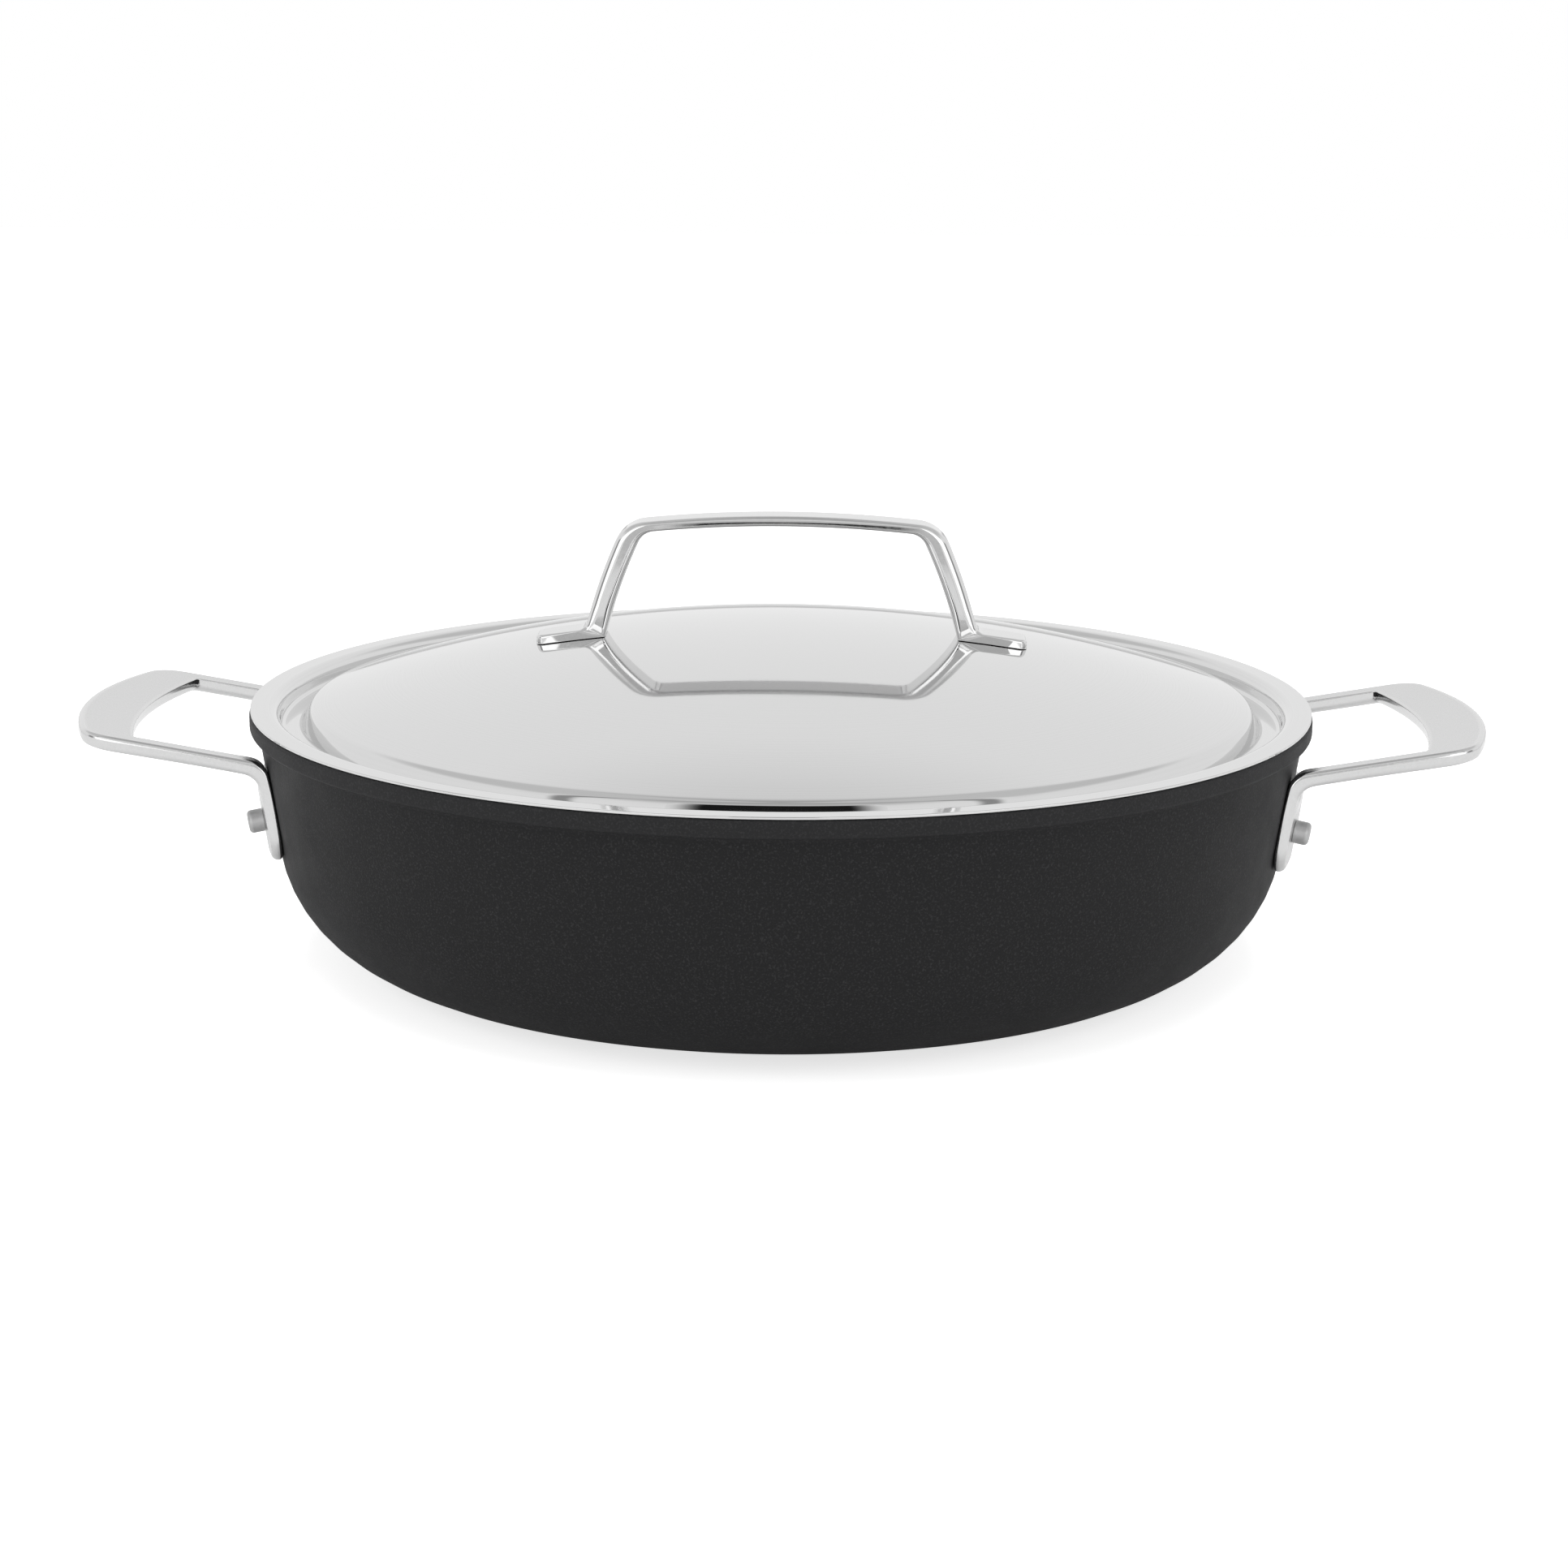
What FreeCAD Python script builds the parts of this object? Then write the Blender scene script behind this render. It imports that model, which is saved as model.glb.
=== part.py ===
import FreeCAD, Part
import math
import os
import re
import Sketcher
from FreeCAD import Placement, Rotation, Vector

# A braiser: a low round pan with two riveted loop handles, and a steel lid with a bow handle.
# Millimetres. The origin is the centre of the face that the pan stands on, with +Z up.
# The side handles lie along X. Heights on the pan are measured down from its rim, and
# heights on the lid up from the same rim, so that both follow the pan's height.

SIZES = {
    # pan body: lip, tapered wall, rounded corner and floor
    "lip_radius": 145.3,
    "pan_height": 69,
    "lip_height": 4.7,
    "lip_overhang": 2.3,
    "lip_edge_round": 1.2,
    "lip_root_round": 1.6,
    "mouth_round": 0.9,
    "wall_draft": 8.4,
    "wall_thickness": 4,
    "floor_thickness": 5,
    # steel disc let into the flat of the underside, standing a little proud of it
    "disc_inset": 10.3,
    "disc_thickness": 2,
    "disc_proud": 0.3,
    "disc_gap": 0.2,
    "disc_edge_round": 0.2,
    # side handle: loop, arms, bend and curved bracket, in one piece; the bracket's top drops
    # from the bend, and the rivets lift from the bracket's foot
    "loop_reach": 47,
    "loop_half_width": 46.4,
    "loop_thickness": 4.1,
    "loop_rise": 9.8,
    "loop_drop": 9.8,
    "loop_tip_radius": 118,
    "loop_corner_radius": 10,
    "loop_grip_depth": 16,
    "finger_half_width": 40.5,
    "finger_arc_radius": 160,
    "finger_corner_radius": 1.5,
    "bend_radius": 5.5,
    "bracket_thickness": 2.9,
    "bracket_top_drop": 0.4,
    "bracket_foot_drop": 38,
    "bracket_corner_radius": 7,
    "bracket_seat_gap": 0.15,
    "loop_under_round": 1.2,
    "loop_top_round": 0.5,
    # rivet: low head inside the pan, shank, and a stub outside the bracket
    "rivet_lift": 11.2,
    "rivet_inset": 8.8,
    "rivet_shank_radius": 2.5,
    "rivet_gap": 0.1,
    "rivet_head_radius": 5.5,
    "rivet_head_height": 1.8,
    "rivet_head_gap": 0.15,
    "rivet_head_round": 1,
    "rivet_stub_radius": 3.1,
    "rivet_stub_height": 4,
    "rivet_stub_round": 1.1,
    # lid: brim on the rim, drip channel inside the mouth, shallow dome
    "lid_sheet": 0.7,
    "brim_inset": 0.3,
    "brim_edge_round": 0.2,
    "brim_bend": 1.1,
    "lid_play": 1.8,
    "channel_depth": 5.7,
    "channel_width": 5.7,
    "channel_flare": 1.4,
    "channel_bend": 1.4,
    "dome_rise": 20,
    "dome_edge_bend": 2.3,
    # bow handle on the lid: two feet, two leaning and slightly curved legs, arched grip
    "bow_rise": 51,
    "bow_width": 12,
    "bow_half_length": 43.3,
    "bow_crown_radius": 362,
    "bow_corner_radius": 10,
    "bow_top_round": 1.6,
    "bow_edge_round": 0.7,
    "grip_thickness": 2.8,
    "leg_thickness": 5.5,
    "leg_stance": 53.8,
    "leg_arc_radius": 150,
    "foot_reach": 67.4,
    "foot_thickness": 2.6,
    "foot_corner_radius": 2.5,
    "heel_round": 3,
    "weld_seam": 0.1,
    # how far a cut runs past the solid that it cuts
    "overrun": 5,
}

# Points closer together than this count as one
SAME_POINT = 1e-4

doc = FreeCAD.newDocument("braiser")
sheet = doc.addObject("Spreadsheet::Sheet", "Sizes")
for row, (name, size) in enumerate(SIZES.items(), 1):
    sheet.set(f"A{row}", name)
    sheet.set(f"B{row}", str(size))
    sheet.setAlias(f"B{row}", name)
doc.recompute()

# Formulas that several pieces share. The wall is straight as far down as the brackets reach,
# and the rounded corner below them runs from there to the flat that the disc is let into.

LIP_UNDER = "(pan_height - lip_height)"
WALL_TOP = "(lip_radius - lip_overhang)"
MOUTH = f"({WALL_TOP} + lip_height * tan(wall_draft) - wall_thickness / cos(wall_draft))"
FLOOR = "(disc_proud + floor_thickness)"
BRACKET_FOOT = "(pan_height - bracket_foot_drop)"
CORNER_TURN = "tan(45 + wall_draft / 2)"
CORNER_REACH = f"(({BRACKET_FOOT} - disc_proud) / cos(wall_draft))"
CORNER_RADIUS = f"({CORNER_REACH} * {CORNER_TURN})"
LOOP_TIP = "(lip_radius + loop_reach)"
TIP_CENTRE = f"({LOOP_TIP} - loop_tip_radius)"
RIVET_LEVEL = f"({BRACKET_FOOT} + rivet_lift)"
BRIM_RADIUS = "(lip_radius - brim_inset)"
CHANNEL_OUTER = f"({MOUTH} - lid_play)"
CHANNEL_FLOOR = "(pan_height + lid_sheet - channel_depth)"
CHANNEL_INNER = f"({CHANNEL_OUTER} - lid_sheet - channel_width)"
DOME_EDGE = f"({CHANNEL_INNER} - channel_flare)"
DOME_RADIUS = f"(({DOME_EDGE}^2 + dome_rise^2) / (2 * dome_rise))"
DOME_CENTRE = f"(pan_height + dome_rise - {DOME_RADIUS})"
BOW_CENTRE = "(pan_height + bow_rise - bow_crown_radius)"


def wall_at(height):
    """Formula of the outer wall's radius at a height."""
    return f"({WALL_TOP} - ({LIP_UNDER} - {height}) * tan(wall_draft))"


DISC_RADIUS = f"({wall_at('disc_proud')} - {CORNER_REACH} - disc_inset)"


def bracket_at(height, lift):
    """Formula of the bracket's radius at a height, on its wall side or a lift further out."""
    return f"({wall_at(height)} + bracket_seat_gap + {lift} / cos(wall_draft))"


def dome_at(reach, lift):
    """Formula of the height at a reach from the axis, on the dome raised by a lift."""
    return f"({DOME_CENTRE} + sqrt(({DOME_RADIUS} + {lift})^2 - {reach}^2))"


def bow_at(reach, depth):
    """Formula of the height at a reach from the middle, on the grip's crown lowered by a depth."""
    return f"({BOW_CENTRE} + sqrt((bow_crown_radius - {depth})^2 - {reach}^2))"


# Helpers that draw, revolve and round

def bound(formula):
    """A formula in the sheet's words, as an expression of the document."""
    return re.sub(r"[a-z_]+", lambda word: f"Sizes.{word[0]}" if word[0] in SIZES else word[0], formula)


def number(formula):
    """The present value of a formula."""
    return float(sheet.evalExpression(bound(formula)))


def new_body(label):
    body = doc.addObject("PartDesign::Body", label)
    body.Label = label
    return body


def hold(sketch, kind, side, end, formula, axis):
    """Keep one coordinate of a sketch point at a formula."""
    if formula == "0":
        sketch.addConstraint(Sketcher.Constraint("PointOnObject", side, end, axis))
        return
    index = sketch.addConstraint(Sketcher.Constraint(kind, -1, 1, side, end, number(formula)))
    sketch.setExpression(f"Constraints[{index}]", bound(formula))


def arc_side(start, end, radius, clockwise):
    """The shorter arc between two points, and the sketch's numbers of its two ends."""
    chord = end - start
    rise = math.sqrt(radius**2 - chord.Length**2 / 4)
    left = Vector(-chord.y, chord.x, 0).normalize()
    centre = (start + end) / 2 + left * (-rise if clockwise else rise)
    first, last = (end, start) if clockwise else (start, end)
    angles = [math.atan2(point.y - centre.y, point.x - centre.x) for point in (first, last)]
    circle = Part.Circle(centre, Vector(0, 0, 1), radius)
    return Part.ArcOfCircle(circle, *angles), ((2, 1) if clockwise else (1, 2))


def draw(body, name, role, corners, arcs=None):
    """Sketch a closed outline on an origin plane, with every corner held at two formulas.

    arcs gives, for the side that starts at a corner, its radius and whether it runs clockwise."""
    arcs = arcs or {}
    sketch = body.newObject("Sketcher::SketchObject", name)
    plane = next(each for each in body.Origin.OriginFeatures if each.Role == role)
    sketch.AttachmentSupport = [(plane, "")]
    sketch.MapMode = "FlatFace"
    points = [Vector(number(across), number(up), 0) for across, up in corners]
    ends = []
    for side, start in enumerate(points):
        end = points[(side + 1) % len(points)]
        shape, numbers = Part.LineSegment(start, end), (1, 2)
        if side in arcs:
            radius, clockwise = arcs[side]
            shape, numbers = arc_side(start, end, number(radius), clockwise)
        sketch.addGeometry(shape, False)
        ends.append(numbers)
    for side, (first, last) in enumerate(ends):
        following = (side + 1) % len(points)
        sketch.addConstraint(Sketcher.Constraint("Coincident", side, last, following, ends[following][0]))
        across, up = corners[side]
        hold(sketch, "DistanceX", side, first, across, -2)
        hold(sketch, "DistanceY", side, first, up, -1)
    for side, (radius, _) in arcs.items():
        index = sketch.addConstraint(Sketcher.Constraint("Radius", side, number(radius)))
        sketch.setExpression(f"Constraints[{index}]", bound(radius))
    doc.recompute()
    return sketch


def revolve(body, name, sketch, angle="360"):
    """Turn a section about the sketch's upright axis, evenly to both sides."""
    feature = body.newObject("PartDesign::Revolution", name)
    feature.Profile = sketch
    feature.ReferenceAxis = (sketch, ["V_Axis"])
    feature.setExpression("Angle", bound(angle))
    feature.Midplane = True
    feature.Refine = True
    doc.recompute()


def cut(body, name, sketch, upward=False):
    """Cut an outline right through, to both sides of its plane or only upward from it."""
    before = body.Shape.Volume
    feature = body.newObject("PartDesign::Pocket", name)
    feature.Profile = sketch
    feature.Type = "ThroughAll"
    feature.Midplane = not upward
    feature.Reversed = upward
    doc.recompute()
    if not body.Shape.Volume < before:
        raise RuntimeError(f"{name} cuts nothing")


def round_edges(body, name, radius, wanted):
    """Round the edges of a body that answer to a test."""
    base = body.Tip
    chosen = [f"Edge{place}" for place, edge in enumerate(base.Shape.Edges, 1) if wanted(edge)]
    if not chosen:
        raise RuntimeError(f"{name} finds no edge")
    feature = body.newObject("PartDesign::Fillet", name)
    feature.Base = (base, chosen)
    feature.setExpression("Radius", bound(radius))
    doc.recompute()
    if "Invalid" in feature.State or not feature.Shape.isValid():
        raise RuntimeError(f"{name} can't be rounded")


def close(one, other):
    return abs(one - other) < SAME_POINT


def middle(edge):
    return edge.valueAt((edge.FirstParameter + edge.LastParameter) / 2)


def ring(radius, height):
    """Test for the round edge about Z with a radius at a height."""
    size, level = number(radius), number(height)

    def wanted(edge):
        point = middle(edge)
        return close(math.hypot(point.x, point.y), size) and close(point.z, level)

    return wanted


def crossing(across, up):
    """Test for the straight edges along Y at a reach to either side and at a height."""
    reach, level = number(across), number(up)

    def wanted(edge):
        ends = edge.Vertexes
        placed = all(close(abs(each.X), reach) and close(each.Z, level) for each in ends)
        return placed and close(ends[0].X, ends[-1].X)

    return wanted


def ending(across, up):
    """Test for the edge to the rear of the middle plane that ends in it at a reach and a height."""
    reach, level = number(across), number(up)

    def wanted(edge):
        ends = any(close(each.X, reach) and close(each.Y, 0) and close(each.Z, level)
                   for each in edge.Vertexes)
        return ends and middle(edge).y > 0

    return wanted


def drilled(body, name, seat, depth, radius):
    """Drill a round hole along a seat's own axis, from a depth below the seat to past the bracket."""
    feature = body.newObject("PartDesign::SubtractiveCylinder", name)
    feature.setExpression("Radius", bound(radius))
    feature.setExpression("Height", bound(f"{depth} + bracket_seat_gap + bracket_thickness + overrun"))
    feature.Placement = seat * Placement(Vector(0, 0, -number(depth)), Rotation())
    doc.recompute()


# Places of the rivets: on the outer wall, square to it

def rivet_seat(side, row):
    """Frame on the wall's outer face at one rivet, its Z axis pointing out of the pan."""
    height = number(RIVET_LEVEL)
    radius = number(wall_at(RIVET_LEVEL))
    spread = math.degrees(math.asin(number("loop_half_width - rivet_inset") / radius))
    turn = Rotation(Vector(0, 0, 1), row * spread if side > 0 else 180 - row * spread)
    lean = Rotation(Vector(0, 1, 0), 90 + number("wall_draft"))
    return Placement(turn.multVec(Vector(radius, 0, height)), turn * lean)


SIDES = {"right": 1, "left": -1}
ROWS = {"front": -1, "rear": 1}


def make_pan_body():
    body = new_body("pan_body")
    recess = f"({DISC_RADIUS} + disc_gap)"
    cavity_foot = f"({MOUTH} - (pan_height - {FLOOR}) * tan(wall_draft))"
    section = draw(body, "pan_section", "XZ_Plane", [
        ("0", "disc_thickness"),
        (recess, "disc_thickness"),
        (recess, "disc_proud"),
        (wall_at("disc_proud"), "disc_proud"),
        (WALL_TOP, LIP_UNDER),
        ("lip_radius", LIP_UNDER),
        ("lip_radius", "pan_height"),
        (MOUTH, "pan_height"),
        (cavity_foot, FLOOR),
        ("0", FLOOR),
    ])
    revolve(body, "pan_turned", section)
    round_edges(body, "outer_corner", CORNER_RADIUS, ring(wall_at("disc_proud"), "disc_proud"))
    round_edges(body, "inner_corner", f"{CORNER_RADIUS} - wall_thickness", ring(cavity_foot, FLOOR))
    round_edges(body, "lip_root", "lip_root_round", ring(WALL_TOP, LIP_UNDER))
    round_edges(body, "lip_lower_edge", "lip_edge_round", ring("lip_radius", LIP_UNDER))
    round_edges(body, "lip_upper_edge", "lip_edge_round", ring("lip_radius", "pan_height"))
    round_edges(body, "mouth_edge", "mouth_round", ring(MOUTH, "pan_height"))
    for side_name, side in SIDES.items():
        for row_name, row in ROWS.items():
            drilled(body, f"{side_name}_{row_name}_hole", rivet_seat(side, row),
                    "(wall_thickness + overrun)", "rivet_shank_radius + rivet_gap")
    return body


def make_base_disc():
    body = new_body("base_disc")
    section = draw(body, "disc_section", "XZ_Plane", [
        ("0", "0"),
        (DISC_RADIUS, "0"),
        (DISC_RADIUS, "disc_thickness"),
        ("0", "disc_thickness"),
    ])
    revolve(body, "disc_turned", section)
    round_edges(body, "disc_edge", "disc_edge_round", ring(DISC_RADIUS, "0"))
    return body


def make_side_handle(label, turned):
    """Strip bent out from the wall, turned about the pan's axis and cut to outline from two sides."""
    body = new_body(label)
    draft, rise = "tan(wall_draft)", "tan(loop_rise)"
    top = f"(pan_height - loop_drop - lip_radius * {rise})"
    under = f"({top} - loop_thickness / cos(loop_rise))"
    outside = f"(({bracket_at('0', '0')} + {top} * {draft}) / (1 - {draft} * {rise}))"
    inside = f"(({bracket_at('0', 'bracket_thickness')} + {under} * {draft}) / (1 - {draft} * {rise}))"
    bend_turn = "tan(45 + (wall_draft + loop_rise) / 2)"
    bend_end = f"({under} + {inside} * {rise} - bend_radius * cos(wall_draft) / {bend_turn})"
    far = f"({LOOP_TIP} + overrun)"
    section = draw(body, "strip_section", "XZ_Plane", [
        (bracket_at(BRACKET_FOOT, "0"), BRACKET_FOOT),
        (bracket_at(BRACKET_FOOT, "bracket_thickness"), BRACKET_FOOT),
        (inside, f"{under} + {inside} * {rise}"),
        (far, f"{under} + {far} * {rise}"),
        (far, f"{top} + {far} * {rise}"),
        (outside, f"{top} + {outside} * {rise}"),
    ])
    revolve(body, "strip_turned", section, "90")
    round_edges(body, "bend_inside", "bend_radius", ring(inside, f"{under} + {inside} * {rise}"))
    round_edges(body, "bend_outside", "bend_radius + bracket_thickness",
                ring(outside, f"{top} + {outside} * {rise}"))

    wide, narrow = "loop_half_width", "(loop_half_width - bracket_corner_radius)"
    corner_up = f"({BRACKET_FOOT} + bracket_corner_radius)"
    above = f"(pan_height + {far} * {rise})"
    face = draw(body, "bracket_outline", "YZ_Plane", [
        (wide, above), (wide, corner_up), (narrow, BRACKET_FOOT),
        (f"-{narrow}", BRACKET_FOOT), (f"-{wide}", corner_up), (f"-{wide}", above),
        (f"-{far}", above), (f"-{far}", "0"), (far, "0"), (far, above),
    ], {1: ("bracket_corner_radius", True), 3: ("bracket_corner_radius", True)})
    cut(body, "width_trimmed", face)

    past = "(loop_half_width + overrun)"
    past_corner = f"({TIP_CENTRE} + sqrt(loop_tip_radius^2 - {past}^2))"
    tip = draw(body, "tip_outline", "XY_Plane", [
        (past_corner, past), (past_corner, f"-{past}"), (f"2 * {far}", f"-{past}"), (f"2 * {far}", past),
    ], {0: ("loop_tip_radius", True)})
    cut(body, "tip_trimmed", tip)

    def upright(across, along):
        """Test for the upright edges at a plan position to either side."""
        reach, width = number(across), number(along)

        def wanted(edge):
            return all(close(each.X, reach) and close(abs(each.Y), width) for each in edge.Vertexes)

        return wanted

    tip_corner = f"({TIP_CENTRE} + sqrt(loop_tip_radius^2 - {wide}^2))"
    round_edges(body, "tip_corners", "loop_corner_radius", upright(tip_corner, wide))
    # each rounding runs on along the smooth outline, all the way round the handle
    round_edges(body, "under_edge", "loop_under_round", ending(LOOP_TIP, f"{under} + {LOOP_TIP} * {rise}"))
    round_edges(body, "top_edge", "loop_top_round", ending(LOOP_TIP, f"{top} + {LOOP_TIP} * {rise}"))

    gap = "finger_half_width"
    gap_arc = f"({LOOP_TIP} - loop_grip_depth - finger_arc_radius)"
    gap_corner = f"({gap_arc} + sqrt(finger_arc_radius^2 - {gap}^2))"
    hole = draw(body, "finger_outline", "XY_Plane", [
        ("0", gap), ("0", f"-{gap}"), (gap_corner, f"-{gap}"), (gap_corner, gap),
    ], {2: ("finger_arc_radius", False)})
    hole.setExpression("AttachmentOffset.Base.z", bound(f"{bend_end} - bracket_top_drop"))
    cut(body, "finger_gap", hole, upward=True)

    round_edges(body, "finger_corners", "finger_corner_radius", upright(gap_corner, gap))
    for row_name, row in ROWS.items():
        drilled(body, f"{row_name}_hole", rivet_seat(1, row), "overrun", "rivet_shank_radius + rivet_gap")
    body.Placement = Placement(Vector(), Rotation(Vector(0, 0, 1), turned))
    return body


def make_rivet(label, side, row):
    body = new_body(label)
    head = "(-wall_thickness - rivet_head_gap)"
    head_end = f"({head} - rivet_head_height)"
    stub = "(2 * bracket_seat_gap + bracket_thickness)"
    stub_end = f"({stub} + rivet_stub_height)"
    section = draw(body, "rivet_section", "XZ_Plane", [
        ("0", head_end),
        ("rivet_head_radius", head_end),
        ("rivet_head_radius", head),
        ("rivet_shank_radius", head),
        ("rivet_shank_radius", stub),
        ("rivet_stub_radius", stub),
        ("rivet_stub_radius", stub_end),
        ("0", stub_end),
    ])
    revolve(body, "rivet_turned", section)
    round_edges(body, "head_edge", "rivet_head_round", ring("rivet_head_radius", head_end))
    round_edges(body, "stub_edge", "rivet_stub_round", ring("rivet_stub_radius", stub_end))
    body.Placement = rivet_seat(side, row)
    return body


def make_lid_shell():
    body = new_body("lid_shell")
    brim_top = "(pan_height + lid_sheet)"
    channel_wall = f"({CHANNEL_OUTER} - lid_sheet)"
    under_floor = f"({CHANNEL_FLOOR} - lid_sheet)"
    under_wall = f"({CHANNEL_INNER} - lid_sheet)"
    under_edge = f"({DOME_EDGE} - lid_sheet)"
    edge_level = dome_at(DOME_EDGE, "0")
    under_level = dome_at(under_edge, "-lid_sheet")
    section = draw(body, "lid_section", "XZ_Plane", [
        ("0", "(pan_height + dome_rise)"),
        (DOME_EDGE, edge_level),
        (CHANNEL_INNER, CHANNEL_FLOOR),
        (channel_wall, CHANNEL_FLOOR),
        (channel_wall, brim_top),
        (BRIM_RADIUS, brim_top),
        (BRIM_RADIUS, "pan_height"),
        (CHANNEL_OUTER, "pan_height"),
        (CHANNEL_OUTER, under_floor),
        (under_wall, under_floor),
        (under_edge, under_level),
        ("0", "(pan_height + dome_rise - lid_sheet)"),
    ], {0: (DOME_RADIUS, True), 10: (f"({DOME_RADIUS} - lid_sheet)", False)})
    revolve(body, "lid_turned", section)
    round_edges(body, "dome_edge_inside", "dome_edge_bend", ring(under_edge, under_level))
    round_edges(body, "dome_edge_outside", "dome_edge_bend + lid_sheet", ring(DOME_EDGE, edge_level))
    for name, radius in (("channel_inner", CHANNEL_INNER), ("channel_outer", channel_wall)):
        round_edges(body, f"{name}_inside", "channel_bend", ring(radius, CHANNEL_FLOOR))
    for name, radius in (("under_inner", under_wall), ("under_outer", CHANNEL_OUTER)):
        round_edges(body, f"{name}_outside", "channel_bend + lid_sheet", ring(radius, under_floor))
    round_edges(body, "brim_inside", "brim_bend", ring(CHANNEL_OUTER, "pan_height"))
    round_edges(body, "brim_outside", "brim_bend + lid_sheet", ring(channel_wall, brim_top))
    for name, level in (("brim_upper_edge", brim_top), ("brim_lower_edge", "pan_height")):
        round_edges(body, name, "brim_edge_round", ring(BRIM_RADIUS, level))
    return body


def make_lid_handle():
    """Bow drawn from the side, with its right half first, and made as wide as the strap."""
    body = new_body("lid_handle")
    leg_inner = "(leg_stance - leg_thickness)"
    grip_inner = "(bow_half_length - leg_thickness)"
    half = [
        ("foot_reach", dome_at("foot_reach", "weld_seam")),
        ("foot_reach", dome_at("foot_reach", "foot_thickness")),
        ("leg_stance", dome_at("leg_stance", "foot_thickness")),
        ("bow_half_length", bow_at("bow_half_length", "0")),
    ]
    inner_half = [
        (grip_inner, bow_at(grip_inner, "grip_thickness")),
        (leg_inner, dome_at(leg_inner, "weld_seam")),
    ]
    mirrored = [(f"-{across}", up) for across, up in reversed(half)]
    inner_mirrored = [(f"-{across}", up) for across, up in reversed(inner_half)]
    foot_top = (f"({DOME_RADIUS} + foot_thickness)", False)
    foot_sole = (f"({DOME_RADIUS} + weld_seam)", True)
    side = draw(body, "bow_side", "XZ_Plane", half + mirrored + inner_mirrored + inner_half, {
        1: foot_top,
        2: ("leg_arc_radius", False),
        3: ("bow_crown_radius", False),
        4: ("leg_arc_radius", False),
        5: foot_top,
        7: foot_sole,
        8: ("leg_arc_radius", True),
        9: ("(bow_crown_radius - grip_thickness)", True),
        10: ("leg_arc_radius", True),
        11: foot_sole,
    })
    pad = body.newObject("PartDesign::Pad", "bow_strap")
    pad.Profile = side
    pad.setExpression("Length", bound("bow_width"))
    pad.Midplane = True
    doc.recompute()
    round_edges(body, "bow_corners", "bow_corner_radius", crossing(*half[3]))
    round_edges(body, "bow_corners_inside", "bow_corner_radius - grip_thickness", crossing(*inner_half[0]))
    round_edges(body, "heels", "heel_round", crossing(*half[2]))

    def foot_end(edge):
        """Test for the upright edges at the outer ends of the feet."""
        ends = edge.Vertexes
        at_end = all(close(abs(each.X), number("foot_reach")) for each in ends)
        return at_end and close(ends[0].Y, ends[-1].Y)

    def grip_edge(level):
        """Test for the grip's two long edges, whose middle is at a height."""
        return lambda edge: close(middle(edge).x, 0) and close(middle(edge).z, number(level))

    round_edges(body, "foot_corners", "foot_corner_radius", foot_end)
    round_edges(body, "outer_edges", "bow_top_round", grip_edge("pan_height + bow_rise"))
    round_edges(body, "inner_edges", "bow_edge_round", grip_edge("pan_height + bow_rise - grip_thickness"))
    return body


pieces = [make_pan_body(), make_base_disc(), make_side_handle("right_handle", 0),
          make_side_handle("left_handle", 180)]
for side_name, side in SIDES.items():
    for row_name, row in ROWS.items():
        pieces.append(make_rivet(f"{side_name}_{row_name}_rivet", side, row))
pieces += [make_lid_shell(), make_lid_handle()]
doc.recompute()

for each in doc.Objects:
    if "Invalid" in each.State or "Error" in each.State:
        raise RuntimeError(f"{each.Label} failed: {each.State}")
for piece in pieces:
    if piece.Shape.isNull() or not piece.Shape.isValid():
        raise RuntimeError(f"{piece.Label} has no valid shape")

os.makedirs("parts", exist_ok=True)
for piece in pieces:
    piece.Shape.exportStep(f"parts/{piece.Label}.step")
    box = piece.Shape.optimalBoundingBox()
    print(f"{piece.Label}: {piece.Shape.Volume:.0f} mm3, x {box.XMin:.2f} {box.XMax:.2f},"
          f" y {box.YMin:.2f} {box.YMax:.2f}, z {box.ZMin:.2f} {box.ZMax:.2f}")
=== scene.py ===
# %% [markdown]
# # A braiser, dressed for a studio photograph
#
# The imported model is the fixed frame: it says where every piece of the braiser is and how big it is.
# This lesson rebuilds each piece as a smooth mesh over that frame and gives it its finish. The frame's
# own meshes are loose triangles, and a mirror finish would show every one of them, so each piece is
# replaced by a mesh with a smooth surface, and the frame stays underneath for the sizes.

# %% Load the frame
import math

import bmesh
import bpy
from mathutils import Matrix, Vector
from mathutils.geometry import intersect_sphere_sphere_2d


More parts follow.
